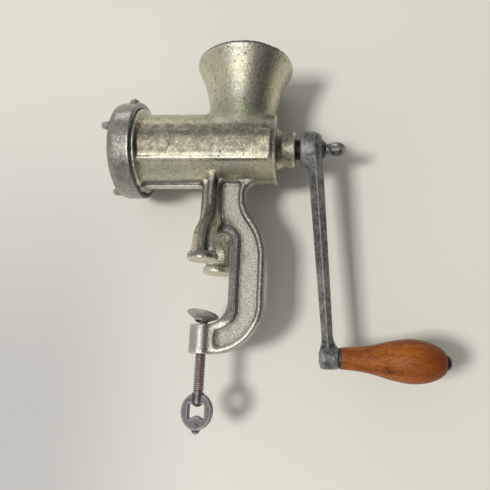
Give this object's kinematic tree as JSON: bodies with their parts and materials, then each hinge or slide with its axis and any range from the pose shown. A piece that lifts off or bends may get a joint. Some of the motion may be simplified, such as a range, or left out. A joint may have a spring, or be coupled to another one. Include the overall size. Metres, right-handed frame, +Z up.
{
  "type": "hand crank meat grinder",
  "caption": "Hand-cranked meat grinder: cast barrel with a flared hopper, lugged ring nut over a perforated plate, screw table clamp, and a crank with a turned wooden grip.",
  "frame": {"origin": "on the clamp screw's axis, level with the table top that the two feet stand on", "axes": "+Z up, +X along the barrel towards the crank, +Y to the rear foot"},
  "size_m": [0.2768, 0.0844, 0.3107],
  "materials": {
    "tinned_iron": "tinned cast iron with a sandy cast skin, worn at the edges",
    "worn_iron": "dull grey iron with bands rubbed bright",
    "dark_iron": "dark mottled iron",
    "rusted_steel": "brown rust stained steel",
    "blued_steel": "blue-black steel",
    "plain_steel": "ground steel",
    "varnished_wood": "orange-brown varnished hardwood with its grain along the axis"
  },
  "bodies": {
    "housing": {"housing": "tinned_iron", "plate_key_pin": "plain_steel"},
    "crank": {"feed_screw": "tinned_iron", "feed_screw_stud": "plain_steel", "knife": "plain_steel", "thrust_washer": "plain_steel", "crank_arm": "dark_iron", "grip_rivet": "blued_steel", "grip_washer": "blued_steel"},
    "grip": {"grip": "varnished_wood"},
    "crank_screw_collar": {"crank_screw_collar": "rusted_steel"},
    "crank_screw": {"crank_screw": "rusted_steel"},
    "perforated_plate": {"perforated_plate": "plain_steel"},
    "ring_nut": {"ring_nut": "worn_iron"},
    "clamp_pad": {"clamp_pad": "dark_iron"},
    "clamp_screw": {"clamp_screw": "rusted_steel", "clamp_eye": "rusted_steel"}
  },
  "joints": [
    {"name": "crank_turn", "type": "hinge", "parent": "housing", "child": "crank", "pos_m": [0.0835, 0, 0.1032], "axis": [1, 0, 0], "continuous": true},
    {"name": "grip_spin", "type": "hinge", "parent": "crank", "child": "grip", "pos_m": [0.147, 0, -0.0678], "axis": [1, 0, 0], "continuous": true},
    {"name": "crank_screw_travel", "type": "slide", "parent": "crank", "child": "crank_screw_collar", "axis": [1, 0, 0], "range_m": [0, 0.012]},
    {"name": "crank_screw_turn", "type": "hinge", "parent": "crank_screw_collar", "child": "crank_screw", "pos_m": [0.0945, 0, 0.1032], "axis": [1, 0, 0], "range_deg": [0, 3456]},
    {"name": "ring_nut_travel", "type": "slide", "parent": "housing", "child": "perforated_plate", "axis": [-1, 0, 0], "range_m": [0, 0.012]},
    {"name": "ring_nut_turn", "type": "hinge", "parent": "perforated_plate", "child": "ring_nut", "pos_m": [-0.0735, 0, 0.1032], "axis": [-1, 0, 0], "range_deg": [0, 1440]},
    {"name": "clamp_travel", "type": "slide", "parent": "housing", "child": "clamp_pad", "axis": [0, 0, 1], "range_m": [0, 0.028]},
    {"name": "clamp_turn", "type": "hinge", "parent": "clamp_pad", "child": "clamp_screw", "pos_m": [0, 0, -0.06], "axis": [0, 0, 1], "range_deg": [0, 6720]}
  ],
  "couplings": [
    {"joint": "crank_screw_turn", "follows": "crank_screw_travel", "rad_per_m": 5026.5},
    {"joint": "ring_nut_turn", "follows": "ring_nut_travel", "rad_per_m": 2094.4},
    {"joint": "clamp_turn", "follows": "clamp_travel", "rad_per_m": 4188.8}
  ]
}
